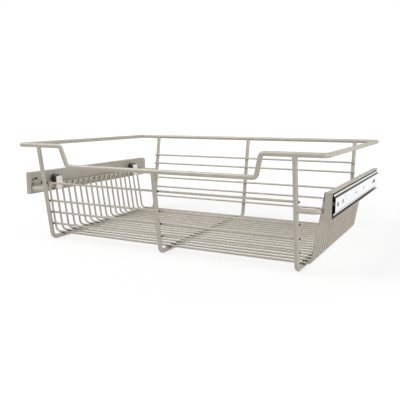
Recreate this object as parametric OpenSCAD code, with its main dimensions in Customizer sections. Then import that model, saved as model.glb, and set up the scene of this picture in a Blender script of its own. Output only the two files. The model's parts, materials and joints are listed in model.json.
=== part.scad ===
// Pull-out wire basket on a pair of full-extension ball-bearing slides.
// Millimetres. X is the width, +Y points to the back of the cabinet, +Z is up.
// The origin is the middle of the basket, on the level its lowest wires stand on.

/* [Opening] */
// Clear width of the cabinet opening, from one slide's outer face to the other's
opening_w = 605.2; // [600:0.1:640]

/* [Basket] */
// Room between the rim and the cabinet on each side
rim_room = 4.6; // [2:0.1:20]
// Depth of the rim between its wire centres
rim_d = 429; // [400:1:460]
// Height of the basket over its wires
basket_h = 189; // [170:1:230]
// Lean of the front and back walls from upright
wall_lean = 9; // [5:0.5:11]
// Lean of the side walls from upright
side_lean = 9; // [5:0.5:12]
// How far each outer frame wire stands inside the side rail
frame_inset = 35.35; // [26:0.05:55]
// How far the front rail dips for the hand
dip_depth = 37.5; // [25:0.5:50]
// Width of the dip at the top
dip_top_w = 389.5; // [300:1:420]
// Width of the dip at its lower rail
dip_low_w = 370.5; // [280:1:400]

/* [Wire] */
// Diameter of the rim, frame and side rail wire
frame_d = 8; // [7:0.5:9]
// Diameter of the grid wire
grid_d = 4; // [3:0.5:4.5]
// Bend radius of the rim's corners
rim_bend_r = 8.5; // [7:0.5:20]
// Bend radius at the dip's corners
dip_bend_r = 7; // [6:0.5:14]
// Bend radius at the bottom of the frame wires
frame_bend_r = 11; // [8:1:16]
// Bend radius at the ends of the side rails
rail_bend_r = 11; // [8:1:14]
// Bend radius at the bottom of the cross wires
cross_bend_r = 10.5; // [7:0.5:16]
// How deep a welded wire sinks into the one it crosses
weld_set = 0.6; // [0.1:0.05:0.7]

/* [Grid] */
// Place of the first cross wire
cross_first_y = -158.3; // [-162:0.1:-150]
// Spacing of the cross wires
cross_pitch = 18.3; // [17:0.1:18.8]
// Number of cross wires
cross_count = 18; // [12:1:18]
// Overhang of the back and front wires past the outer frame wires
wire_overhang = 0.5; // [0:0.5:8]
// Height of the side rails over the standing level
rail_z = 100.5; // [95:0.5:110]
// How far the cross wires reach above the side rails' centres
cross_rise = 3; // [1:0.5:4]

/* [Slides] */
// Length of the cabinet member
slide_len = 381; // [370:1:390]
// Place of the cabinet member's front end
slide_front_y = -188; // [-192:0.5:-180]
// Height of the slide's middle over the standing level
slide_z = 110; // [108:0.1:111]
// Height of the cabinet member
slide_h = 35; // [34:0.5:37]
// Thickness of the closed slide
slide_t = 12.7; // [12.5:0.1:14]
// Sheet thickness of the cabinet member
cabinet_sheet = 1.2; // [1:0.1:1.3]
// Height of the cabinet member's flat web, between its shoulders
flat_h = 19.4; // [18:0.2:19.6]
// Sheet thickness of the intermediate and drawer members
inner_sheet = 1.1; // [0.9:0.1:1.2]
// Distance the basket pulls out
travel = 380; // [300:5:385]
// Radius of the outer balls
outer_ball_r = 2.2; // [2:0.05:2.25]
// Radius of the inner balls
inner_ball_r = 1.6; // [1.4:0.05:1.7]
// Running clearance between a ball and its race
ball_clearance = 0.05; // [0.04:0.01:0.1]
// Spacing of the balls in a cage
ball_pitch = 18; // [12:1:30]

/* [Covers] */
// Length of the slide cover
cover_len = 406; // [395:1:425]
// Height of the slide cover
cover_h = 42.5; // [42:0.5:46]
// Height of the cover's lower edge over the standing level
cover_z = 87.5; // [85:0.5:89]
// How far the cover's front lip stands ahead of the slide
cover_lead = 9; // [2:0.5:12]
// Sheet thickness of the cover
cover_sheet = 1.5; // [1:0.1:2]
// Depth of the cover's flanges over the slide
cover_flange = 11; // [6:0.1:12]

/* [Rail clips] */
// Diameter of the clip post
post_d = 17; // [12:0.5:18]
// Thickness of the saddle strip
saddle_t = 2; // [1.5:0.1:2.5]
// Width of the saddle strip
saddle_w = 12; // [8:0.5:13]
// Width of the keeper plate
keeper_w = 17; // [13:0.5:20]
// Height of the keeper plate
keeper_h = 27.5; // [22:0.5:30]
// Thickness of the keeper plate
keeper_t = 2; // [1.5:0.1:3]
// Diameter of the clip screw
screw_d = 4; // [3:0.1:5]

/* [Hidden] */
// Shares of a full bend that a wire gives up in thickness, and how far its straights run into the bend
bend_neck = 0.1;
bend_lap = 0.3;
// How far short of the other wire's centre a coped end stops
cope_stop = 1.5;
// Free gap between pieces that move past each other, and of a screw in its hole
gap = 0.4;
hole_play = 0.1;
pin_play = 0.05;
saddle_play = 0.05;

// Heights of the straight wires on the back wall and the front wall
back_wire_z = [37.2, 60, 83, 118.5, 139.3];
front_wire_z = [31.9, 55, 77.7, 113];

rim_z = basket_h - frame_d / 2;
floor_z = frame_d / 2;
grid_z = frame_d + grid_d / 2 - weld_set;
dip_z = rim_z - dip_depth;
weld_gap = (frame_d + grid_d) / 2 - weld_set;

slide_rear_y = slide_front_y + slide_len;
cover_front_y = slide_front_y - cover_lead;
web_x = opening_w / 2 - slide_t - cover_sheet;
rail_x = web_x - saddle_t - saddle_play - frame_d / 2;
frame_x = rail_x - frame_inset;
rim_w = opening_w - 2 * rim_room - frame_d;

// The slide's section is drawn as [distance from the cabinet wall, height over the slide's middle].
// A 45 degree line through both ball centres crosses the intermediate member's sheet.
outer_race = outer_ball_r + ball_clearance;
inner_race = inner_ball_r + ball_clearance;
outer_ball_u = 6.2;
outer_ball = [outer_ball_u, slide_h / 2 - cabinet_sheet - outer_race];
inner_ball = outer_ball + (outer_race + inner_sheet + inner_race) * [cos(45), -sin(45)];
fold_r = 1;

// The cabinet member's web steps in to each race at 45 degrees
shoulder_r = 1.5;
shoulder_turn = 45;

// Angles at which each race starts and ends around its ball
cabinet_wrap = [180, 20];
intermediate_outer_wrap = [255, 315];
intermediate_inner_wrap = [135, 35];
drawer_wrap = [300, 235];
drawer_lip = 0.4;

// Lengths inside the closed slide, and how much shorter than the slide each piece is
member_inset = 1;
intermediate_short = 12;
drawer_short = 10;
cage_short = 6;
intermediate_len = slide_len - intermediate_short;
drawer_len = slide_len - drawer_short;
bumper_len = drawer_short - gap;
cage_len = drawer_len - travel / 2 - cage_short;

// The cages lie beside the webs, and their flanges cross each ball where the two races leave a way through
cage_sheet = 0.4;
cage_gap = 0.45;
cage_margin = 0.3;
outer_cage_bend = [4.9, 1.08];
outer_cage_drop = 0.43;
inner_cage_drop = 0.35;
web_u = outer_ball[0] + (outer_race + inner_sheet / 2 + fold_r) * cos(intermediate_outer_wrap[0]) - fold_r;
outer_cage_u = cabinet_sheet + cage_gap + cage_sheet / 2;
inner_cage_u = web_u + inner_sheet / 2 + cage_gap + cage_sheet / 2;
outer_tab_tip = outer_cage_u + cage_sheet / 2;
outer_tab_h = 8;
inner_tab_h = 15;
inner_tab_tip = outer_ball[0];

// Screw holes and slots of the cabinet member: distance from its front end, then length and height.
// A slot's round ends keep a flat this small between them.
end_flat = 0.01;
mount_hole_d = 6.4;
mount_holes = [50, 306];
cabinet_slots = [[16, 8, 7], [150, 4.5, 5.5], [220.5, 4.5, 7], [329, 17, 7]];
access_hole_d = 10;

// Openings in the cover: place behind its front or ahead of its rear end, then height, length and height.
// The drawer member has a slot behind the second one.
front_slots = [[14.4, 7, 9, 4], [29.9, -2.6, 4.5, 8]];
lance_holes = [5.8, -1.7, -7.2];
lance_size = 4;
lance_y = 4.2;
rear_holes = [[8, 12.4], [9, -5.1]];
rear_hole_d = 4;
cover_corner_r = 7;

// Clips sit ahead of the middle of the gaps after the second and before the last cross wire
clip_lead = 3.5;
clip_y = [for (i = [1.5, cross_count - 1.5]) cross_first_y + cross_pitch * i - clip_lead];
post_z = rail_z + frame_d / 2 + post_d / 2;
keeper_drop = 2.5;
keeper_r = 0.42 * keeper_w;
keeper_z = post_z + post_d / 2 - keeper_drop - keeper_h / 2;
keeper_x = side_x(keeper_z - keeper_h / 2) - grid_d / 2 / cos(side_lean);
saddle_drop = 3.5;
saddle_wrap = 110;
screw_head_d = 7.5;
screw_head_h = 2.2;
cross_slot = [4, 1, 2];

// Release lever, in the drawer member behind the middle of the slide
lever_y = 34;
lever_len = 52;
lever_h = 6;
lever_t = 2;
lever_depth = 3.6;
lever_u = slide_t - inner_sheet - lever_depth;
lever_pin_d = 4;
lever_boss_d = 7;
lever_pad_inset = 2;
lever_pad_len = 10;
lever_pad_rise = 0.8;

function cross_name(i) = str("cross_wire_", i < 9 ? "0" : "", i + 1);
SIDES = ["left", "right"];
SLIDE_PARTS = ["cabinet_member", "rear_bumper", "outer_ball_cage", "outer_balls", "intermediate_member",
    "inner_ball_cage", "inner_balls", "drawer_member", "release_lever", "slide_cover"];
$fn = 40;

nickel = [0.75, 0.72, 0.66];
steel = [0.86, 0.86, 0.87];
dark = [0.08, 0.08, 0.08];

// ---- Bent round wire ----

function unit(v) = v / norm(v);
function turn(a, b, c) = acos(unit(b - a) * unit(c - b));
function trim(a, b, c, r) = r * tan(turn(a, b, c) / 2);
function pick(r, i) = is_list(r) ? r[i] : r;

// Places children at p with their X and Y axes along x and y
module axes(p, x, y) {
    z = cross(x, y);
    multmatrix([[x[0], y[0], z[0], p[0]], [x[1], y[1], z[1], p[1]], [x[2], y[2], z[2], p[2]], [0, 0, 0, 1]])
        children();
}

module straight(p, q, d) {
    z = unit(q - p);
    side = abs(z[2]) < 0.9 ? [0, 0, 1] : [0, 1, 0];
    x = unit(cross(side, z));
    axes(p, x, cross(z, x)) cylinder(d = d, h = norm(q - p));
}

// The bend at b of a wire that runs from a to c, a little thinner than the straights, as drawn wire is
module bend(a, b, c, r, d) {
    along = unit(b - a);
    out = unit(cross(along, cross(along, c - b)));
    start = b - along * trim(a, b, c, r);
    axes(start - out * r, out, along)
        rotate_extrude(angle = turn(a, b, c)) translate([r, 0]) circle(d = d - bend_neck);
}

// A wire of diameter d through the corners p, bent to radius r there. A closed wire comes back to its start.
module wire(p, d, r, closed = false) {
    n = len(p);
    function at(i) = p[(i + n) % n];
    function is_bend(i) = closed || (i > 0 && i < n - 1);
    function cut(i) = is_bend(i) ? trim(at(i - 1), at(i), at(i + 1), pick(r, i % n)) - bend_lap : 0;
    for (i = [0:n - (closed ? 1 : 2)]) {
        along = unit(at(i + 1) - at(i));
        straight(at(i) + along * cut(i), at(i + 1) - along * cut((i + 1) % n), d);
    }
    for (i = [0:n - 1]) if (is_bend(i)) bend(at(i - 1), at(i), at(i + 1), pick(r, i), d);
}

// ---- Basket ----

// Half depth of the front and back walls at height z
function wall_y(z) = rim_d / 2 - (rim_z - z) * tan(wall_lean);
// Half width of a side wall at height z
function side_x(z) = rail_x - weld_gap / cos(side_lean) - (rail_z - z) * tan(side_lean);

module rim_wire() {
    w = rim_w / 2;
    d = rim_d / 2;
    low_y = -wall_y(dip_z);
    color(nickel) wire([
        [w, -d, rim_z], [w, d, rim_z], [-w, d, rim_z], [-w, -d, rim_z],
        [-dip_top_w / 2, -d, rim_z], [-dip_low_w / 2, low_y, dip_z],
        [dip_low_w / 2, low_y, dip_z], [dip_top_w / 2, -d, rim_z]
    ], frame_d, concat([for (i = [1:4]) rim_bend_r], [for (i = [1:4]) dip_bend_r]), closed = true);
}

// A frame wire stands up under the rim at the back and meets the rim, or the dip's lower rail, at the front
module frame_wire(x, front_z) {
    stop_y = cope_stop * sin(wall_lean);
    stop_z = cope_stop * cos(wall_lean);
    color(nickel) difference() {
        wire([
            [x, -wall_y(front_z) + stop_y, front_z - stop_z], [x, -wall_y(floor_z), floor_z],
            [x, wall_y(floor_z), floor_z], [x, wall_y(rim_z) - stop_y, rim_z - stop_z]
        ], frame_d, frame_bend_r);
        for (end = [[-wall_y(front_z), front_z], [wall_y(rim_z), rim_z]])
            translate([x, end[0], end[1]]) rotate([0, 90, 0])
                cylinder(d = frame_d, h = 2 * frame_d, center = true);
    }
}

// A side rail leaves the side of the front frame wire, runs back past the clips and returns to the back one
module side_rail(side) {
    y = wall_y(rail_z);
    color(nickel) difference() {
        wire([
            [side * (frame_x + cope_stop), -y, rail_z], [side * rail_x, -y, rail_z],
            [side * rail_x, y, rail_z], [side * (frame_x + cope_stop), y, rail_z]
        ], frame_d, rail_bend_r);
        for (end = [-1, 1])
            translate([side * frame_x, end * y, rail_z]) rotate([-end * wall_lean, 0, 0])
                cylinder(d = frame_d, h = 4 * frame_d, center = true);
    }
}

module cross_wire(i) {
    top_z = rail_z + cross_rise;
    color(nickel) translate([0, cross_first_y + cross_pitch * i, 0]) wire([
        [-side_x(top_z), 0, top_z], [-side_x(grid_z), 0, grid_z],
        [side_x(grid_z), 0, grid_z], [side_x(top_z), 0, top_z]
    ], grid_d, cross_bend_r);
}

// A straight wire on the inner side of the back wall (side 1) or the front wall (side -1)
module wall_wire(z, side) {
    reach = frame_x + frame_d / 2 + wire_overhang;
    y = side * (wall_y(z) - weld_gap / cos(wall_lean));
    color(nickel) straight([-reach, y, z], [reach, y, z], grid_d);
}

// ---- Rail clips ----

// Draws children at each clip, on both sides
module each_clip() {
    for (side = [-1, 1], y = clip_y) translate([0, y, 0]) scale([side, 1, 1]) children();
}

// Strip behind and under the rail, which hooks it to the cover
module rail_saddle() {
    reach = frame_d / 2 + saddle_play + saddle_t / 2;
    top = post_z + post_d / 2 - saddle_drop;
    hook = concat([[reach, top - rail_z]], arc([0, 0], reach, 0, -saddle_wrap, 16));
    difference() {
        translate([rail_x, saddle_w / 2, rail_z]) rotate([90, 0, 0])
            linear_extrude(saddle_w) polygon(strip(hook, saddle_t));
        screw_hole(hole_play);
    }
}

// Post on top of the rail, between the saddle strip and the keeper plate
module clip_post() {
    difference() {
        translate([keeper_x, 0, post_z]) rotate([0, 90, 0])
            cylinder(d = post_d, h = web_x - saddle_t - keeper_x);
        screw_hole(hole_play);
    }
}

// Plate that hangs inboard of the rail and the wire tops
module keeper_plate() {
    difference() {
        translate([keeper_x - keeper_t, 0, keeper_z]) rotate([90, 0, 90]) linear_extrude(keeper_t)
            polygon(rounded(keeper_w, keeper_h, keeper_r));
        screw_hole(hole_play);
    }
}

screw_end_x = keeper_x - keeper_t / 2;
screw_head_x = opening_w / 2 - slide_t + inner_sheet;

// Space of a clip screw's shank, from its end in the keeper plate outwards
module screw_hole(play) {
    translate([screw_end_x, 0, post_z]) rotate([0, 90, 0])
        cylinder(d = screw_d + 2 * play, h = screw_head_x - screw_end_x + 1);
}

module clip_screw() {
    translate([screw_end_x + hole_play, 0, post_z]) rotate([0, 90, 0]) {
        cylinder(d = screw_d, h = screw_head_x - screw_end_x - hole_play);
        translate([0, 0, screw_head_x - screw_end_x - hole_play]) difference() {
            cylinder(d = screw_head_d, h = screw_head_h);
            for (a = [0, 90]) rotate(a) translate([0, 0, screw_head_h]) cube(cross_slot, center = true);
        }
    }
}

// ---- Folded sheet sections ----

function at_angle(a) = [cos(a), sin(a)];
function arc(c, r, a0, a1, n = 6) = [for (i = [0:n]) c + r * at_angle(a0 + (a1 - a0) * i / n)];

function heading(p, i) = unit(p[i + 1] - p[i]);

// The side of a path at distance d to its left, mitred at each point
function beside(p, d) = [for (i = [0:len(p) - 1])
    let (a = heading(p, max(i - 1, 0)), b = heading(p, min(i, len(p) - 2)))
    let (m = unit([-a[1] - b[1], a[0] + b[0]]))
    p[i] + m * d / (m * [-a[1], a[0]])];

function reversed(p) = [for (i = [len(p) - 1:-1:0]) p[i]];

// A path without the points that repeat where two arcs join
function joined(p) = [for (i = [0:len(p) - 1]) if (i == 0 || norm(p[i] - p[i - 1]) > 0.001) p[i]];

// Outline of a sheet of thickness t folded along a path
function strip(p, t) = let (q = joined(p)) concat(beside(q, t / 2), reversed(beside(q, -t / 2)));

// A whole section from its upper half, which starts on the web
function both_halves(p) = concat(reversed([for (q = p) [q[0], -q[1]]]), p);

function rounded(w, h, r) = [for (k = [0:3], q = arc([(k == 0 || k == 3 ? 1 : -1) * (w / 2 - r),
    (k < 2 ? 1 : -1) * (h / 2 - r)], r, 90 * k, 90 * k + 90, 8)) q];

// The web steps in at its shoulder and runs on into the race, which wraps over the ball
cabinet_path = let (r = outer_race + cabinet_sheet / 2, u = cabinet_sheet / 2, v = outer_ball[0] - r,
    top = flat_h / 2 + 2 * shoulder_r * tan(shoulder_turn / 2) + (v - u) / tan(shoulder_turn)) concat(
    arc([u + shoulder_r, flat_h / 2], shoulder_r, 180, 180 - shoulder_turn, 4),
    arc([v - shoulder_r, top], shoulder_r, -shoulder_turn, 0, 4),
    arc(outer_ball, r, cabinet_wrap[0], cabinet_wrap[1], 14));

// The web folds out under the outer ball, and the sheet then wraps over the inner ball
intermediate_path = let (a = intermediate_outer_wrap, b = intermediate_inner_wrap) concat(
    arc(outer_ball + (outer_race + inner_sheet / 2 + fold_r) * at_angle(a[0]), fold_r, 180, a[0] - 180),
    arc(outer_ball, outer_race + inner_sheet / 2, a[0], a[1]),
    arc(inner_ball, inner_race + inner_sheet / 2, b[0], b[1], 8));

// The web folds back under the inner ball
drawer_path = let (r = inner_race + inner_sheet / 2, u = slide_t - inner_sheet / 2,
    w = inner_ball[1] + r * sin(drawer_wrap[0])) concat(
    arc([u - fold_r, w - fold_r], fold_r, 0, 90, 4), arc(inner_ball, r, drawer_wrap[0], drawer_wrap[1], 6),
    [[inner_ball[0] - inner_race - drawer_lip, w]]);

// From the web at distance u, along the cabinet member's shoulder, to just past the ball
outer_cage_path = let (b = [outer_cage_bend[0], outer_ball[1] - outer_cage_bend[1]], u = outer_cage_u)
    [[u, b[1] - (b[0] - u) / tan(shoulder_turn)], b,
    [outer_ball[0] + outer_ball_r + cage_margin, outer_ball[1] - outer_cage_drop]];
inner_cage_path = let (w = inner_ball[1] - inner_cage_drop)
    [[inner_cage_u, w], [inner_ball[0] + inner_ball_r + cage_margin, w]];

// ---- Slides: X is the distance from the cabinet wall and Z the height over the slide's middle ----

module on_side(side) {
    scale([-side, 1, 1]) translate([-opening_w / 2, 0, slide_z]) children();
}

module along_y(y, length) {
    translate([0, y + length, 0]) rotate([90, 0, 0]) linear_extrude(length) children();
}

// A slot or hole through a web, w long and h high, at place y and height z
module web_slot(y, z, w, h) {
    translate([-1, y, z]) rotate([90, 0, 90]) linear_extrude(2 * slide_t)
        polygon(rounded(w, h, min(w, h) / 2 - end_flat));
}

module front_slot(s) {
    web_slot(cover_front_y + s[0], s[1], s[2], s[3]);
}

module web_hole(y, z, d) {
    translate([-1, y, z]) rotate([0, 90, 0]) cylinder(d = d, h = 2 * slide_t);
}

// A square window of size s through a web, its front edge at y and its middle at z
module web_window(y, z, s) {
    translate([-1, y, z - s / 2]) cube([2 * slide_t, s, s]);
}

// Tab of a web at its front end, which a ball cage stops against: from the web's sheet at u to its tip
module front_tab(y, u, tip, t, h) {
    translate([u, y, -h / 2]) cube([tip - u, t, h]);
}

module cabinet_member() {
    color(steel) difference() {
        union() {
            along_y(slide_front_y, slide_len) polygon(strip(both_halves(cabinet_path), cabinet_sheet));
            front_tab(slide_front_y, cabinet_sheet / 2, outer_tab_tip, cabinet_sheet, outer_tab_h);
        }
        for (y = mount_holes) web_hole(slide_front_y + y, 0, mount_hole_d);
        for (s = cabinet_slots) web_slot(slide_front_y + s[0], 0, s[1], s[2]);
    }
}

// Buffer at the back of the cabinet member, which the closed slide stops against
module rear_bumper() {
    color(dark) translate([cabinet_sheet, slide_rear_y - bumper_len, -flat_h / 2])
        cube([inner_ball[0] - cabinet_sheet, bumper_len, flat_h]);
}

module intermediate_member() {
    front_y = slide_front_y + member_inset;
    color(steel) difference() {
        union() {
            along_y(front_y, intermediate_len) polygon(strip(both_halves(intermediate_path), inner_sheet));
            front_tab(front_y, web_u, inner_tab_tip, inner_sheet, inner_tab_h);
        }
        for (y = mount_holes) web_hole(slide_front_y + y, 0, access_hole_d);
    }
}

module drawer_member() {
    color(steel) difference() {
        along_y(slide_front_y, drawer_len) polygon(strip(both_halves(drawer_path), inner_sheet));
        for (y = clip_y) web_hole(y, post_z - slide_z, screw_d + 2 * hole_play);
        front_slot(front_slots[1]);
        web_hole(lever_y, 0, lever_pin_d + 2 * pin_play);
    }
}

// Places of the balls along a cage, kept clear of its ends
ball_gaps = floor((cage_len - 3 * outer_ball_r) / ball_pitch);
ball_places = [for (i = [0:ball_gaps]) (i - ball_gaps / 2) * ball_pitch];

module balls(at, r) {
    color(steel) for (y = ball_places, side = [-1, 1]) translate([at[0], y, side * at[1]]) sphere(r = r);
}

// U-shaped cage, drawn along a path, whose flanges carry the balls
module ball_cage(path, ball, r) {
    color(steel) difference() {
        along_y(-cage_len / 2, cage_len) polygon(strip(both_halves(path), cage_sheet));
        for (y = ball_places)
            translate([ball[0], y, -slide_h / 2]) cylinder(r = r + ball_clearance, h = slide_h);
    }
}

// Plastic lever that frees the drawer member: a bar with a finger pad, turning on its own pin
module release_lever() {
    color(dark) translate([lever_u, lever_y, 0]) {
        rotate([90, 0, 90]) linear_extrude(lever_t)
            polygon(rounded(lever_len, lever_h, lever_h / 2 - end_flat));
        translate([0, lever_pad_inset - lever_len / 2, -lever_h / 2])
            cube([lever_t + lever_pad_rise, lever_pad_len, lever_h / 2]);
        rotate([0, 90, 0]) cylinder(d = lever_pin_d, h = slide_t - lever_u - gap);
        translate([lever_t, 0, 0]) rotate([0, 90, 0])
            cylinder(d = lever_boss_d, h = slide_t - inner_sheet - lever_u - lever_t - hole_play);
    }
}

module slide_cover() {
    u0 = slide_t + cover_sheet - cover_flange;
    u1 = slide_t + cover_sheet / 2;
    w0 = cover_z - slide_z + cover_sheet / 2;
    w1 = w0 + cover_h - cover_sheet;
    path = concat([[u0, w0]], arc([u1 - fold_r, w0 + fold_r], fold_r, -90, 0, 4),
        arc([u1 - fold_r, w1 - fold_r], fold_r, 0, 90, 4), [[u0, w1]]);
    rear_y = cover_front_y + cover_len;
    color(nickel) difference() {
        union() {
            along_y(cover_front_y, cover_len) polygon(strip(path, cover_sheet));
            translate([u0, cover_front_y, w0]) cube([u1 - u0, cover_sheet, w1 - w0]);
        }
        for (y = clip_y) web_hole(y, post_z - slide_z, screw_d + 2 * hole_play);
        for (s = front_slots) front_slot(s);
        for (h = rear_holes) web_hole(rear_y - h[0], h[1], rear_hole_d);
        for (z = lance_holes) web_window(cover_front_y + lance_y, z, lance_size);
        for (end = [-1, 1]) translate([u0 - 1, rear_y, (w0 + w1) / 2 + end * (w1 - w0 + cover_sheet) / 2])
            corner_cut(end, cover_flange + 2);
    }
}

// What rounds off a web's rear corner
module corner_cut(end, depth) {
    r = cover_corner_r;
    rotate([90, 0, 90]) linear_extrude(depth) scale([1, end])
        polygon(concat([[1, 1], [-r, 1]], arc([-r, -r], r, 90, 0, 8), [[1, -r]]));
}

// ---- Nodes ----

rim_wire();
frame_wire(-frame_x, rim_z);  // frame_wire_left
frame_wire(0, dip_z);  // frame_wire_center
frame_wire(frame_x, rim_z);  // frame_wire_right
side_rail(-1);  // side_rail_left
side_rail(1);  // side_rail_right
for (i = [0:cross_count - 1]) cross_wire(i);
for (i = [0:len(back_wire_z) - 1])
    wall_wire(back_wire_z[i], 1);
for (i = [0:len(front_wire_z) - 1])
    wall_wire(front_wire_z[i], -1);
color(nickel) each_clip() rail_saddle();  // rail_saddles
color(dark) each_clip() clip_post();  // clip_posts
color(steel) each_clip() keeper_plate();  // keeper_plates
color(steel) each_clip() clip_screw();  // clip_screws
for (i = [0, 1]) {
    name = str("_", SIDES[i]);
    side = 2 * i - 1;
    on_side(side) cabinet_member();
    on_side(side) rear_bumper();
    on_side(side) ball_cage(outer_cage_path, outer_ball, outer_ball_r);
    on_side(side) balls(outer_ball, outer_ball_r);
    on_side(side) intermediate_member();
    on_side(side) ball_cage(inner_cage_path, inner_ball, inner_ball_r);
    on_side(side) balls(inner_ball, inner_ball_r);
    on_side(side) drawer_member();
    on_side(side) release_lever();
    on_side(side) slide_cover();
}
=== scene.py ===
"""Looks of the pull-out wire basket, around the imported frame.

Finishes of every node, welds, painted wire ends, floor, light and camera. Lengths are in metres.
"""

import json
import math
import random

import bpy
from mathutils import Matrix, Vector


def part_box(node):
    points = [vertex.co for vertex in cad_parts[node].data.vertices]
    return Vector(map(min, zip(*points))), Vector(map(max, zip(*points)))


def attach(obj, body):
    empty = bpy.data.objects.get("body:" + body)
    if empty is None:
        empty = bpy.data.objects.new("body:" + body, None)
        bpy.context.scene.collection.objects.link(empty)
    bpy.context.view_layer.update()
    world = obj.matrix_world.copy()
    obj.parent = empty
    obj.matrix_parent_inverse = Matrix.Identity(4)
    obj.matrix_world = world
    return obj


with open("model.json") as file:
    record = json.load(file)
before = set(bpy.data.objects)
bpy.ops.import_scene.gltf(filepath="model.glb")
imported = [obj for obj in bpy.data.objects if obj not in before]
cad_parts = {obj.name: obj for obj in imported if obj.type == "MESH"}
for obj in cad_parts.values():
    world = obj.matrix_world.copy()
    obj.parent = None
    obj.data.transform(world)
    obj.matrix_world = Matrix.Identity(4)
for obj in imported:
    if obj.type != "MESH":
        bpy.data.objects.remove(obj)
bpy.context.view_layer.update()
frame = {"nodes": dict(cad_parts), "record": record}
nodes = frame["nodes"]

MM = 0.001
SIDES = {"left": -1, "right": 1}
X_AXIS, Y_AXIS, Z_AXIS = range(3)
ALONG_X, ALONG_Y, UP = Vector((1, 0, 0)), Vector((0, 1, 0)), Vector((0, 0, 1))

# The basket's own sizes that no node's box gives
WALL_LEAN = math.radians(9)
SIDE_LEAN = math.radians(9)
DIP_DEPTH = 37.5 * MM
COPE_STOP = 1.5 * MM

# Half lengths of a weld nugget along its wire, across it, and along the normal of the crossing
FLOOR_NUGGET = (6.2 * MM, 3.3 * MM, 2.0 * MM)
RAIL_NUGGET = (3.2 * MM, 2.6 * MM, 1.4 * MM)
WALL_NUGGET = (5.2 * MM, 2.4 * MM, 1.3 * MM)
NUGGET_SPREAD = (0.88, 1.14)
JOINT_BEAD = 0.75 * MM
BEAD_LUMPS, BEAD_LUMP_SHARE = 5, 0.12
DOME_HEIGHT = 0.4 * MM
WELD_SEED = 11

# Rings of points and points in a ring
NUGGET_MESH = (7, 18)
COLLAR_MESH = (48, 10)
DOME_MESH = (5, 20)

# Where a normal starts and ends to count as a flat that faces sideways, and as a top
FLAT = (0.86, 0.96)
TOP = (0.85, 0.98)

NICKEL_BASE = (0.50, 0.465, 0.40)
NICKEL_PALE = (0.520, 0.482, 0.412)
NICKEL_DARK = (0.470, 0.434, 0.368)
NICKEL_FLECK = (0.60, 0.57, 0.50)
# Darkening of the paint on the weld nuggets, a painted contact shadow, and on the covers, a painted
# shade
WELD_PAINTED_SHADOW, COVER_PAINTED_SHADE = 0.03, 0.92

ZINC = (0.86, 0.865, 0.87)
ZINC_PALE = (0.93, 0.935, 0.94)
ZINC_CLOUDED = (0.83, 0.84, 0.86)
# Faces that point up: painted dark reflection
ZINC_UP_PAINTED_DARK = (0.30, 0.30, 0.31)
# Bends: painted shade and dark reflection, near black
BEND_PAINTED_DARK = (0.012, 0.012, 0.013)
# Flats facing another member: a film and painted shade of the hollows behind the slots
FILM_AND_SHADE_THIN, FILM_AND_SHADE_THICK = 1.13, 0.87
DRAWER_PAINTED_SHADE, INTERMEDIATE_FILM_AND_SHADE = 0.012, 0.46

FLOOR_HALF, FLOOR_DROP = 6.0, 0.1 * MM
FLOOR_GLOW = 1.075
SHADOW_REACH = (0.4, 1.1)
SHADOW_GLOW_SHARE = 0.7
AMBIENT = (0.25, 0.45)
LAMP_TARGET = (0, 0, 0.1)
CAMERA_PLACE = (0.478, -0.9604, 0.2434)
CAMERA_TARGET = (-0.018, 0, 0.0676)
CAMERA_LENS = 47.8
CAMERA_SENSOR = 36
CAMERA_CLIP = 0.01

# Colour sockets of a Mix node
MIX_FIRST, MIX_SECOND, MIX_RESULT = 6, 7, 2


# ---- Shader helpers ----

def new_material(name, color, metallic, roughness):
    """A Principled material with its constants on the shader's own sockets."""
    material = bpy.data.materials.new(name)
    material.use_nodes = True
    shader = material.node_tree.nodes["Principled BSDF"]
    shader.inputs["Base Color"].default_value = (*color, 1)
    shader.inputs["Metallic"].default_value = metallic
    shader.inputs["Roughness"].default_value = roughness
    return material, material.node_tree, shader


def object_place(tree, scale=(1, 1, 1)):
    """Object coordinates in metres, stretched by scale."""
    place = tree.nodes.new("ShaderNodeTexCoord")
    mapping = tree.nodes.new("ShaderNodeMapping")
    mapping.inputs["Scale"].default_value = scale
    tree.links.new(place.outputs["Object"], mapping.inputs["Vector"])
    return mapping.outputs["Vector"]


def noise(tree, place, scale, detail=3, rough=0.55):
    """Grey noise with features of about 1 / scale metres."""
    node = tree.nodes.new("ShaderNodeTexNoise")
    node.inputs["Scale"].default_value = scale
    node.inputs["Detail"].default_value = detail
    node.inputs["Roughness"].default_value = rough
    tree.links.new(place, node.inputs["Vector"])
    return node.outputs["Fac"]


def remap(tree, value, low, high, to_low=0, to_high=1):
    """value from low..high taken to to_low..to_high."""
    node = tree.nodes.new("ShaderNodeMapRange")
    numbers = {"From Min": low, "From Max": high, "To Min": to_low, "To Max": to_high}
    for name, number in numbers.items():
        node.inputs[name].default_value = number
    tree.links.new(value, node.inputs["Value"])
    return node.outputs["Result"]


def combine(tree, operation, first, second):
    """Two values joined by a Math node."""
    node = tree.nodes.new("ShaderNodeMath")
    node.operation = operation
    tree.links.new(first, node.inputs[0])
    tree.links.new(second, node.inputs[1])
    return node.outputs[0]


def either(tree, first, second):
    """The larger of two values."""
    return combine(tree, "MAXIMUM", first, second)


def blend_colors(tree, factor, first, second):
    """A colour between first and second, which are colours or sockets."""
    node = tree.nodes.new("ShaderNodeMix")
    node.data_type = "RGBA"
    tree.links.new(factor, node.inputs["Factor"])
    for socket, color in ((node.inputs[MIX_FIRST], first), (node.inputs[MIX_SECOND], second)):
        if isinstance(color, tuple):
            socket.default_value = (*color, 1)
        else:
            tree.links.new(color, socket)
    return node.outputs[MIX_RESULT]


def mix_shaders(tree, factor, plain, shown, output):
    """plain where factor is 0 and shown where it is 1, led to the output node."""
    node = tree.nodes.new("ShaderNodeMixShader")
    for source, socket in zip((factor, plain, shown), node.inputs):
        tree.links.new(source, socket)
    tree.links.new(node.outputs[0], tree.nodes[output].inputs["Surface"])


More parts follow.
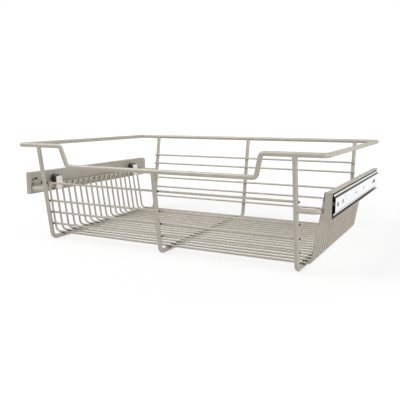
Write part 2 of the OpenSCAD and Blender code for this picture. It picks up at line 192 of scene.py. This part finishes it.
def bump(tree, shader, height, depth, strength):
    """Bumps that are depth metres high."""
    node = tree.nodes.new("ShaderNodeBump")
    node.inputs["Distance"].default_value = depth
    node.inputs["Strength"].default_value = strength
    tree.links.new(height, node.inputs["Height"])
    tree.links.new(node.outputs["Normal"], shader.inputs["Normal"])


def axis_part(tree, coordinates, axis):
    """One axis of the object's coordinates of a kind, such as Normal."""
    place = tree.nodes.new("ShaderNodeTexCoord")
    parts = tree.nodes.new("ShaderNodeSeparateXYZ")
    tree.links.new(place.outputs[coordinates], parts.inputs[0])
    return parts.outputs[axis]


def facing(tree, axis, low, high):
    """0 to 1 as the surface's normal along an axis of the object goes from low to high."""
    return remap(tree, axis_part(tree, "Normal", axis), low, high)


def shown_ray(tree):
    """1 where the camera sees a surface itself or in a mirror or glass."""
    path = tree.nodes.new("ShaderNodeLightPath")
    mirrored = either(tree, path.outputs["Is Glossy Ray"], path.outputs["Is Transmission Ray"])
    return either(tree, path.outputs["Is Camera Ray"], mirrored)


# ---- Finishes ----

def nickel_paint(name="nickel_paint", shade=1.0):
    """Satin nickel powder coat: fine flake, slow tone changes and a light orange peel.

    shade darkens it: the copies for the weld nuggets and the covers use it as painted shade.
    """
    base, pale, dark, fleck = (
        tuple(shade * part for part in color)
        for color in (NICKEL_BASE, NICKEL_PALE, NICKEL_DARK, NICKEL_FLECK))
    material, tree, shader = new_material(name, base, metallic=0.25, roughness=0.45)
    place = object_place(tree)
    slow = remap(tree, noise(tree, place, scale=38, detail=2), 0.35, 0.65)
    flake = remap(tree, noise(tree, place, scale=1400, detail=1), 0.48, 0.7, 0, 0.25)
    color = blend_colors(tree, flake, blend_colors(tree, slow, dark, pale), fleck)
    tree.links.new(color, shader.inputs["Base Color"])
    gloss = remap(tree, noise(tree, place, scale=160), 0.3, 0.7, 0.38, 0.52)
    tree.links.new(gloss, shader.inputs["Roughness"])
    bump(tree, shader, noise(tree, place, scale=700, detail=2), depth=0.03 * MM, strength=0.3)
    return material


def zinc_steel(name="zinc_steel", film_and_shade_way=0, film_and_shade=0.0):
    """Bright zinc-plated strip with rolling streaks. Its bends are painted near black, and its
    upward faces dark grey: painted shade and dark reflection.

    The flats that face the way of film_and_shade_way, 1 or -1 along x, are darker, as bright as
    film_and_shade: a film and painted shade of the hollows seen through the slots.
    """
    material, tree, shader = new_material(name, ZINC, metallic=1.0, roughness=0.2)
    shader.inputs["Specular IOR Level"].default_value = 0.05
    rolled = object_place(tree, scale=(900, 7, 900))
    streak = noise(tree, rolled, scale=1, detail=4, rough=0.6)
    cloud = remap(tree, noise(tree, object_place(tree), scale=55), 0.35, 0.7)
    bright = blend_colors(tree, cloud, ZINC_PALE, ZINC_CLOUDED)
    right = facing(tree, X_AXIS, FLAT[0], FLAT[1])
    left = facing(tree, X_AXIS, -FLAT[0], -FLAT[1])
    flats = either(tree, right, left)
    tops = facing(tree, Z_AXIS, TOP[0], TOP[1])
    # All but the sideways flats are painted near black and not metallic: painted shade and dark
    # reflection in the bends
    color = blend_colors(tree, flats, BEND_PAINTED_DARK, bright)
    # Flats facing film_and_shade_way get the film and painted shade
    if film_and_shade_way:
        film_and_shade_color = blend_colors(tree, cloud, (FILM_AND_SHADE_THIN * film_and_shade,) * 3, (FILM_AND_SHADE_THICK * film_and_shade,) * 3)
        color = blend_colors(tree, right if film_and_shade_way > 0 else left, color, film_and_shade_color)
    # Faces that point up turn dark grey: painted dark reflection
    color = blend_colors(tree, tops, color, ZINC_UP_PAINTED_DARK)
    tree.links.new(color, shader.inputs["Base Color"])
    tree.links.new(either(tree, flats, tops), shader.inputs["Metallic"])
    tree.links.new(remap(tree, streak, 0.3, 0.7, 0.15, 0.27), shader.inputs["Roughness"])
    bump(tree, shader, streak, depth=0.01 * MM, strength=0.35)
    return material


def satin_steel():
    """Tumbled and plated plate, with fine grain in all directions."""
    material, tree, shader = new_material(
        "satin_steel", (0.82, 0.81, 0.78), metallic=0.85, roughness=0.34)
    place = object_place(tree)
    grain = noise(tree, place, scale=1500)
    patches = noise(tree, place, scale=120, detail=2)
    tinted = blend_colors(tree, patches, (0.85, 0.84, 0.81), (0.78, 0.77, 0.74))
    tree.links.new(tinted, shader.inputs["Base Color"])
    tree.links.new(remap(tree, grain, 0.3, 0.7, 0.28, 0.42), shader.inputs["Roughness"])
    bump(tree, shader, grain, depth=0.02 * MM, strength=0.4)
    return material


def ball_steel():
    """Polished bearing balls with faint rolling marks."""
    material, tree, shader = new_material(
        "ball_steel", (0.80, 0.80, 0.82), metallic=1.0, roughness=0.08)
    marks = noise(tree, object_place(tree), scale=1800, detail=2)
    tree.links.new(remap(tree, marks, 0.3, 0.7, 0.05, 0.14), shader.inputs["Roughness"])
    return material


def plastic(name, color, roughness, grain_scale, grain_depth):
    """Moulded plastic or rubber with a fine grain and lighter worn spots."""
    material, tree, shader = new_material(name, color, metallic=0.0, roughness=roughness)
    place = object_place(tree)
    grain = noise(tree, place, grain_scale, detail=2)
    lighter = tuple(min(1, part * 1.6 + 0.01) for part in color)
    worn = remap(tree, noise(tree, place, scale=220, detail=4), 0.5, 0.75, 0, 0.5)
    tree.links.new(blend_colors(tree, worn, color, lighter), shader.inputs["Base Color"])
    gloss = remap(tree, grain, 0.3, 0.7, roughness * 0.85, roughness * 1.2)
    tree.links.new(gloss, shader.inputs["Roughness"])
    bump(tree, shader, grain, grain_depth, strength=0.5)
    return material


materials = {
    "nickel_paint": nickel_paint(),
    "zinc_steel": zinc_steel(),
    "satin_steel": satin_steel(),
    "ball_steel": ball_steel(),
    "black_plastic": plastic("black_plastic", (0.018, 0.018, 0.018), 0.22, 700, 0.01 * MM),
    "lever_plastic": plastic("lever_plastic", (0.03, 0.03, 0.032), 0.5, 1100, 0.03 * MM),
    "buffer_rubber": plastic("buffer_rubber", (0.025, 0.025, 0.025), 0.75, 600, 0.06 * MM),
}
# Near-black copy of the paint for the weld nuggets: painted contact shadow where the wires cross
weld_shadow_paint = nickel_paint("nickel_paint_weld_painted_shadow", WELD_PAINTED_SHADOW)
# Darker copy of the paint for the covers: painted shade
cover_shaded_paint = nickel_paint("nickel_paint_cover_shaded", COVER_PAINTED_SHADE)

# Drawer members are painted near black where they face the covers: painted shade seen through the
# slots.
# Intermediate members are grey where they face the cabinet: an oil film and painted shade of the
# hollow behind the slots.
own_finish = {}
for side, way in SIDES.items():
    own_finish[f"slide_cover_{side}"] = cover_shaded_paint
    own_finish[f"drawer_member_{side}"] = zinc_steel(
        f"zinc_steel_drawer_{side}", -way, DRAWER_PAINTED_SHADE)
    own_finish[f"intermediate_member_{side}"] = zinc_steel(
        f"zinc_steel_intermediate_{side}", way, INTERMEDIATE_FILM_AND_SHADE)

for subpart in frame["record"]["subparts"]:
    node = subpart["node"]
    mesh = nodes[node].data
    mesh.materials.clear()
    mesh.materials.append(own_finish.get(node, materials[subpart["material_slot"]]))


# ---- Mesh helpers ----

def add_piece(name, points, faces, material):
    """One smooth painted mesh from lists of points and faces, riding on the basket."""
    mesh = bpy.data.meshes.new(name)
    mesh.from_pydata(points, [], faces)
    mesh.materials.append(material)
    for polygon in mesh.polygons:
        polygon.use_smooth = True
    piece = bpy.data.objects.new(name, mesh)
    bpy.context.scene.collection.objects.link(piece)
    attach(piece, "basket")


def grid_faces(first, rings, sides, close_rings=False):
    """Quads between rings of points, each ring closed on itself."""
    last = rings if close_rings else rings - 1
    faces = []
    for ring in range(last):
        a, b = first + ring * sides, first + (ring + 1) % rings * sides
        faces += [(a + i, a + (i + 1) % sides, b + (i + 1) % sides, b + i) for i in range(sides)]
    return faces


def capped_faces(first, rings, sides):
    """Quads between rings of points, with the first and last ring filled."""
    lowest, highest = first, first + (rings - 1) * sides
    return grid_faces(first, rings, sides) + [
        tuple(lowest + i for i in reversed(range(sides))), tuple(highest + i for i in range(sides))]


def nugget(points, faces, center, normal, along, sizes):
    """A lens of squeezed metal at a crossing: sizes as FLOOR_NUGGET has them."""
    rings, sides = NUGGET_MESH
    across = normal.cross(along).normalized()
    first = len(points)
    for ring in range(rings):
        lift = -math.cos(math.pi * (ring + 0.5) / rings)
        width = math.sqrt(1 - lift * lift)
        for i in range(sides):
            turn = math.tau * i / sides
            points.append(center
                          + along * (sizes[0] * width * math.cos(turn))
                          + across * (sizes[1] * width * math.sin(turn))
                          + normal * (sizes[2] * lift))
    faces += capped_faces(first, rings, sides)


def collar(points, faces, center, branch, main):
    """A weld bead around a frame-sized wire that ends on another of the same size.

    branch points away from the main wire, along the wire that ends.
    """
    rings, sides = COLLAR_MESH
    across = main.cross(branch).normalized()
    along = branch.cross(across).normalized()
    first = len(points)
    for ring in range(rings):
        turn = math.tau * ring / rings
        out = along * math.cos(turn) + across * math.sin(turn)
        reach = math.sqrt((frame_r * math.cos(turn)) ** 2 + COPE_STOP ** 2)
        place = (along * (frame_r * math.cos(turn))
                 + across * ((frame_r - JOINT_BEAD) * math.sin(turn)))
        spot = center + place + branch * reach
        lump = BEAD_LUMP_SHARE * math.sin(BEAD_LUMPS * turn) * random.random()
        size = JOINT_BEAD * (1 + lump)
        for i in range(sides):
            turn = math.tau * i / sides
            points.append(spot + (out * math.cos(turn) + branch * math.sin(turn)) * size)
    faces += grid_faces(first, rings, sides, close_rings=True)


def dome(points, faces, center, axis):
    """A low dome of paint over a cut end of grid wire."""
    rings, sides = DOME_MESH
    side = axis.orthogonal().normalized()
    other = axis.cross(side)
    first = len(points)
    for ring in range(rings):
        rise = math.sin(math.pi / 2 * ring / rings)
        width = math.cos(math.pi / 2 * ring / rings)
        for i in range(sides):
            turn = math.tau * i / sides
            points.append(center
                          + (side * math.cos(turn) + other * math.sin(turn)) * (grid_r * width)
                          + axis * (DOME_HEIGHT * rise))
    faces += capped_faces(first, rings, sides)


# ---- Places read from the frame ----

def middle(node, axis):
    """The middle of a node's box along an axis."""
    low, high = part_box(node)
    return (low[axis] + high[axis]) / 2


def numbered(stem):
    """The nodes whose names are the stem and a number."""
    return sorted(name for name in nodes if name.startswith(stem) and name[len(stem):].isdigit())


cross_wires = numbered("cross_wire_")
back_wires = numbered("back_wire_")
front_wires = numbered("front_wire_")
frame_wires = ["frame_wire_left", "frame_wire_center", "frame_wire_right"]
frame_x = {name: middle(name, X_AXIS) for name in frame_wires}

center_low, center_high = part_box("frame_wire_center")
back_low, back_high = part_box(back_wires[0])
frame_r = (center_high[X_AXIS] - center_low[X_AXIS]) / 2
grid_r = (back_high[Z_AXIS] - back_low[Z_AXIS]) / 2

rim_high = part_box("rim_wire")[1]
rim_y = rim_high[Y_AXIS] - frame_r
rim_z = rim_high[Z_AXIS] - frame_r
grid_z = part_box(cross_wires[0])[0][Z_AXIS] + grid_r
rail_z = middle("side_rail_left", Z_AXIS)
rail_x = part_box("side_rail_right")[1][X_AXIS] - frame_r


def wall_y(z):
    """Half depth of the front and back walls at height z."""
    return rim_y - (rim_z - z) * math.tan(WALL_LEAN)


# ---- Welds; the nuggets are painted near black as contact shadow ----

def jitter(sizes):
    """sizes, each a little larger or smaller."""
    return tuple(size * random.uniform(*NUGGET_SPREAD) for size in sizes)


def floor_welds():
    """Nuggets where the cross wires lie on the frame wires."""
    points, faces = [], []
    for wire in cross_wires:
        for x in frame_x.values():
            at = Vector((x, middle(wire, Y_AXIS), grid_z - grid_r))
            nugget(points, faces, at, UP, ALONG_X, jitter(FLOOR_NUGGET))
    add_piece("floor_welds", points, faces, weld_shadow_paint)


def rail_welds(side, way):
    """Nuggets where the cross wires lean on a side rail."""
    points, faces = [], []
    normal = Vector((-way * math.cos(SIDE_LEAN), 0, math.sin(SIDE_LEAN)))
    for wire in cross_wires:
        at = Vector((way * rail_x, middle(wire, Y_AXIS), rail_z)) + normal * frame_r
        nugget(points, faces, at, normal, ALONG_Y, jitter(RAIL_NUGGET))
    add_piece(f"rail_welds_{side}", points, faces, weld_shadow_paint)


def wall_welds(name, wires, way):
    """Nuggets where the straight wires of the back or front wall meet the frame wires."""
    points, faces = [], []
    normal = Vector((0, -way * math.cos(WALL_LEAN), math.sin(WALL_LEAN)))
    for wire in wires:
        for x in frame_x.values():
            at = Vector((x, middle(wire, Y_AXIS), middle(wire, Z_AXIS))) - normal * grid_r
            nugget(points, faces, at, normal, ALONG_X, jitter(WALL_NUGGET))
    add_piece(name, points, faces, weld_shadow_paint)


def joint_welds():
    """Beads where the frame wires meet the rim and where the side rails leave the frame wires."""
    back_up = Vector((0, math.sin(WALL_LEAN), math.cos(WALL_LEAN)))
    front_up = Vector((0, -back_up.y, back_up.z))
    points, faces = [], []
    for name, x in frame_x.items():
        front_z = rim_z - DIP_DEPTH if name == "frame_wire_center" else rim_z
        collar(points, faces, Vector((x, rim_y, rim_z)), -back_up, ALONG_X)
        collar(points, faces, Vector((x, -wall_y(front_z), front_z)), -front_up, ALONG_X)
    for way in SIDES.values():
        for end, up in ((1, back_up), (-1, front_up)):
            at = Vector((way * frame_x["frame_wire_right"], end * wall_y(rail_z), rail_z))
            collar(points, faces, at, ALONG_X * way, up)
    add_piece("joint_welds", points, faces, materials["nickel_paint"])


def wire_ends():
    """Paint domes on the ends of the straight wires and on the tops of the cross wires."""
    points, faces = [], []
    for wire in back_wires + front_wires:
        low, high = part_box(wire)
        for x, way in ((low[X_AXIS], -1), (high[X_AXIS], 1)):
            at = Vector((x, middle(wire, Y_AXIS), middle(wire, Z_AXIS)))
            dome(points, faces, at, ALONG_X * way)
    out, up = math.sin(SIDE_LEAN), math.cos(SIDE_LEAN)
    for wire in cross_wires:
        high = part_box(wire)[1]
        top_x, top_z = high[X_AXIS] - grid_r * up, high[Z_AXIS] - grid_r * out
        for way in SIDES.values():
            at = Vector((way * top_x, middle(wire, Y_AXIS), top_z))
            dome(points, faces, at, Vector((way * out, 0, up)))
    add_piece("wire_ends", points, faces, materials["nickel_paint"])


random.seed(WELD_SEED)
floor_welds()
for side, way in SIDES.items():
    rail_welds(side, way)
wall_welds("back_welds", back_wires, 1)
wall_welds("front_welds", front_wires, -1)
joint_welds()
wire_ends()


# ---- Stage ----

def stage_floor():
    """Pale floor that keeps the object's shadow and runs into the white background."""
    mesh = bpy.data.meshes.new("floor")
    corners = [(x * FLOOR_HALF, y * FLOOR_HALF, -FLOOR_DROP)
               for x, y in ((-1, -1), (1, -1), (1, 1), (-1, 1))]
    mesh.from_pydata(corners, [], [(0, 1, 2, 3)])
    floor = bpy.data.objects.new("floor", mesh)
    bpy.context.scene.collection.objects.link(floor)
    material, tree, shader = new_material(
        "floor_white", (0.9, 0.9, 0.9), metallic=0.0, roughness=0.9)
    glow = tree.nodes.new("ShaderNodeEmission")
    glow.inputs["Strength"].default_value = FLOOR_GLOW
    reach = tree.nodes.new("ShaderNodeVectorMath")
    reach.operation = "LENGTH"
    tree.links.new(object_place(tree), reach.inputs[0])
    white = remap(tree, reach.outputs["Value"], *SHADOW_REACH, SHADOW_GLOW_SHARE, 1)
    share = combine(tree, "MULTIPLY", shown_ray(tree), white)
    mix_shaders(tree, share, shader.outputs[0], glow.outputs[0], "Material Output")
    mesh.materials.append(material)


def world_light():
    """White background, and a soft light that is weaker from the front than from behind."""
    world = bpy.data.worlds.new("studio")
    bpy.context.scene.world = world
    world.use_nodes = True
    tree = world.node_tree
    ambient = tree.nodes["Background"]
    ambient.inputs["Color"].default_value = (1, 1, 1, 1)
    strength = remap(tree, axis_part(tree, "Generated", Y_AXIS), -1, 1, *AMBIENT)
    tree.links.new(strength, ambient.inputs["Strength"])
    shown = tree.nodes.new("ShaderNodeBackground")
    shown.inputs["Color"].default_value = (1, 1, 1, 1)
    shown.inputs["Strength"].default_value = 1.0
    mix_shaders(tree, shown_ray(tree), ambient.outputs[0], shown.outputs[0], "World Output")


def aimed(name, data, place, target):
    """A lamp or camera at place, turned to target."""
    thing = bpy.data.objects.new(name, data)
    thing.location = place
    thing.rotation_euler = (Vector(target) - Vector(place)).to_track_quat("-Z", "Y").to_euler()
    bpy.context.scene.collection.objects.link(thing)
    return thing


def softbox(name, place, size, power):
    """A square lamp of size metres and power watts."""
    light = bpy.data.lights.new(name, "AREA")
    light.shape = "RECTANGLE"
    light.size = light.size_y = size
    light.energy = power
    aimed(name, light, place, LAMP_TARGET)


def camera():
    """The photograph's view: 27 degrees round to the right, 9 degrees above the basket."""
    data = bpy.data.cameras.new("camera")
    data.sensor_width = CAMERA_SENSOR
    data.lens = CAMERA_LENS
    data.clip_start = CAMERA_CLIP
    bpy.context.scene.camera = aimed("camera", data, CAMERA_PLACE, CAMERA_TARGET)


stage_floor()
world_light()
softbox("key", (-0.9, -0.7, 1.7), size=1.1, power=20)
softbox("fill", (1.8, -0.4, 0.8), size=1.0, power=14)
camera()
bpy.context.scene.view_settings.view_transform = "Standard"
